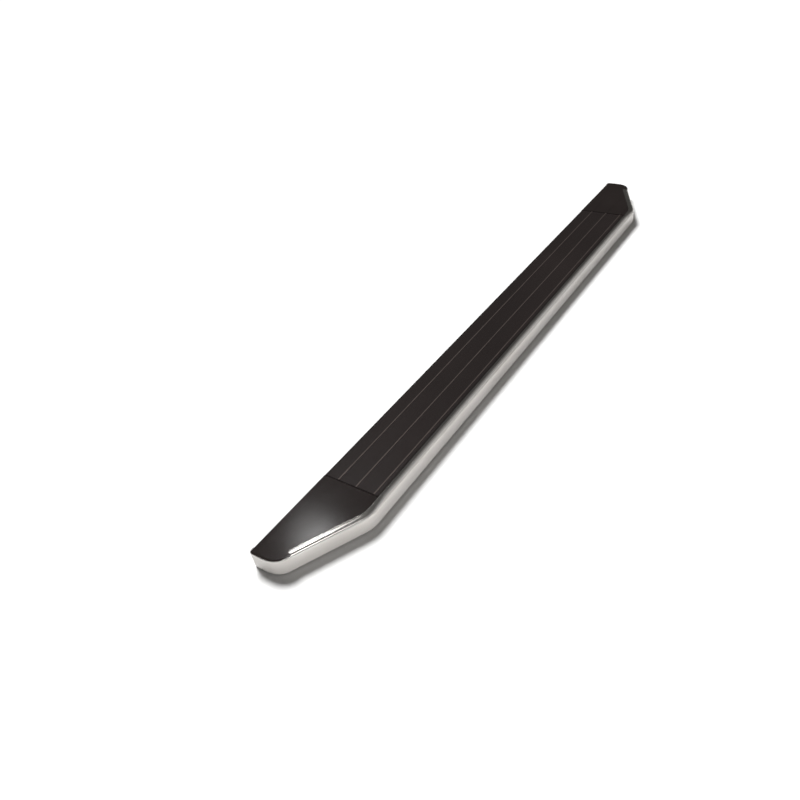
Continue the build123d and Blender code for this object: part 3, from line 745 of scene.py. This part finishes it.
def make_nut_threads():
    """A helical thread in the hole of each slide nut, riding with its nut."""
    for row in ("inner", "outer"):
        for station in ("front", "middle", "rear"):
            nut = f"{row}_slide_nut_{station}"
            low, high = (Vector(corner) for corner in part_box(nut))
            centre = (low + high) / 2
            turns = (high.z - low.z - NUT_PITCH) / NUT_PITCH
            shape = bmesh.new()
            start = Vector((centre.x + NUT_HOLE, centre.y, low.z + NUT_PITCH * 0.1))
            lower = shape.verts.new(start)
            crest = draw_line(shape, lower, Vector((-NUT_THREAD_DEPTH, 0, NUT_PITCH * 0.35)))
            upper = draw_line(shape, crest, Vector((NUT_THREAD_DEPTH, 0, NUT_PITCH * 0.35)))
            shape.edges.new((upper, lower))
            section = shape.faces.new((lower, crest, upper))
            steps = round(24 * turns)
            bmesh.ops.spin(
                shape,
                geom=[section],
                cent=centre,
                axis=(0, 0, 1),
                dvec=(0, 0, NUT_PITCH * turns / steps),
                angle=2 * pi * turns,
                steps=steps,
                use_merge=False,
                use_duplicate=False,
            )
            make_piece(f"{nut}_thread", shape, "nut_steel", nut, None)


# ---- Studio ----
def make_floor():
    """The pale floor under the board."""
    shape = bmesh.new()
    bmesh.ops.create_grid(shape, x_segments=1, y_segments=1, size=FLOOR_SIZE / 2)
    mesh = bpy.data.meshes.new("floor")
    shape.to_mesh(mesh)
    shape.free()
    floor = bpy.data.objects.new("floor", mesh)
    floor.data.materials.append(pale_floor())
    bpy.context.scene.collection.objects.link(floor)
    floor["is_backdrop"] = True


def make_camera():
    """The camera, aimed by azimuth, elevation and roll."""
    azimuth, elevation, roll = (radians(a) for a in (CAMERA_AZIMUTH, CAMERA_ELEVATION, CAMERA_ROLL))
    back = Vector((sin(azimuth) * cos(elevation), -cos(azimuth) * cos(elevation), sin(elevation)))
    across = Vector((0, 0, 1)).cross(back).normalized()
    up = back.cross(across)
    right = across * cos(roll) + up * sin(roll)
    top = up * cos(roll) - across * sin(roll)
    data = bpy.data.cameras.new("camera")
    data.sensor_width = SENSOR_WIDTH
    data.lens = CAMERA_LENS
    data.clip_end = 100.0
    camera = bpy.data.objects.new("camera", data)
    turn = Matrix((right, top, back)).transposed().to_4x4()
    camera.matrix_world = Matrix.Translation(CAMERA_AT) @ turn
    bpy.context.scene.collection.objects.link(camera)
    bpy.context.scene.camera = camera


def aim(light, place, target):
    """Puts a lamp in place with its -Z towards a target."""
    light.location = place
    light.rotation_euler = (Vector(target) - Vector(place)).to_track_quat("-Z", "Y").to_euler()
    bpy.context.scene.collection.objects.link(light)


def softbox(name, place, target, size, power, seen_by_gloss=True, lights_diffuse=True):
    """A rectangular soft lamp."""
    data = bpy.data.lights.new(name, "AREA")
    data.shape = "RECTANGLE"
    data.size, data.size_y = size
    data.energy = power
    light = bpy.data.objects.new(name, data)
    light.visible_camera = False
    light.visible_glossy = seen_by_gloss
    light.visible_diffuse = lights_diffuse
    aim(light, place, target)
    return light


def make_lights():
    """Soft key from behind the inner edge, low fills on the band, and small lamps seen only in gloss."""
    data = bpy.data.lights.new("key", "SUN")
    data.energy = 5.0
    data.angle = radians(22.0)
    key = bpy.data.objects.new("key", data)
    key.visible_glossy = False
    aim(key, (0.9, 1.4, 2.2), (0, 0, 0))
    softbox("cap_light", (0.006, 1.093, 1.60), (-0.84, -0.035, 0.04), (0.14, 0.14), 1.1, True, False)
    softbox("flange_light", (-0.414, 0.474, 1.60), (-0.84, -0.03, 0.04), (0.24, 0.24), 2.4, True, False)
    softbox("shoulder_light", (-0.93, -0.55, 1.70), (-0.84, -0.03, 0.04), (0.3, 0.7), 5.0, True, False)
    softbox("tip_fill", (-1.80, -1.50, 0.15), (-0.85, -0.05, 0.02), (0.7, 0.2), 13.0, True, True)
    softbox("side_fill", (0.2, -3.0, 0.16), (0.1, 0.0, 0.02), (3.0, 0.2), 24.0, True, True)
    world = bpy.data.worlds.new("studio")
    world.use_nodes = True
    background = world.node_tree.nodes["Background"]
    background.inputs["Color"].default_value = (1.0, 0.98, 0.88, 1)
    background.inputs["Strength"].default_value = 0.03
    bpy.context.scene.world = world
    bpy.context.scene.view_settings.view_transform = "Standard"


finish_cad_nodes()
make_trim()
make_tread_strips()
make_screws()
make_nut_threads()
make_floor()
make_camera()
make_lights()
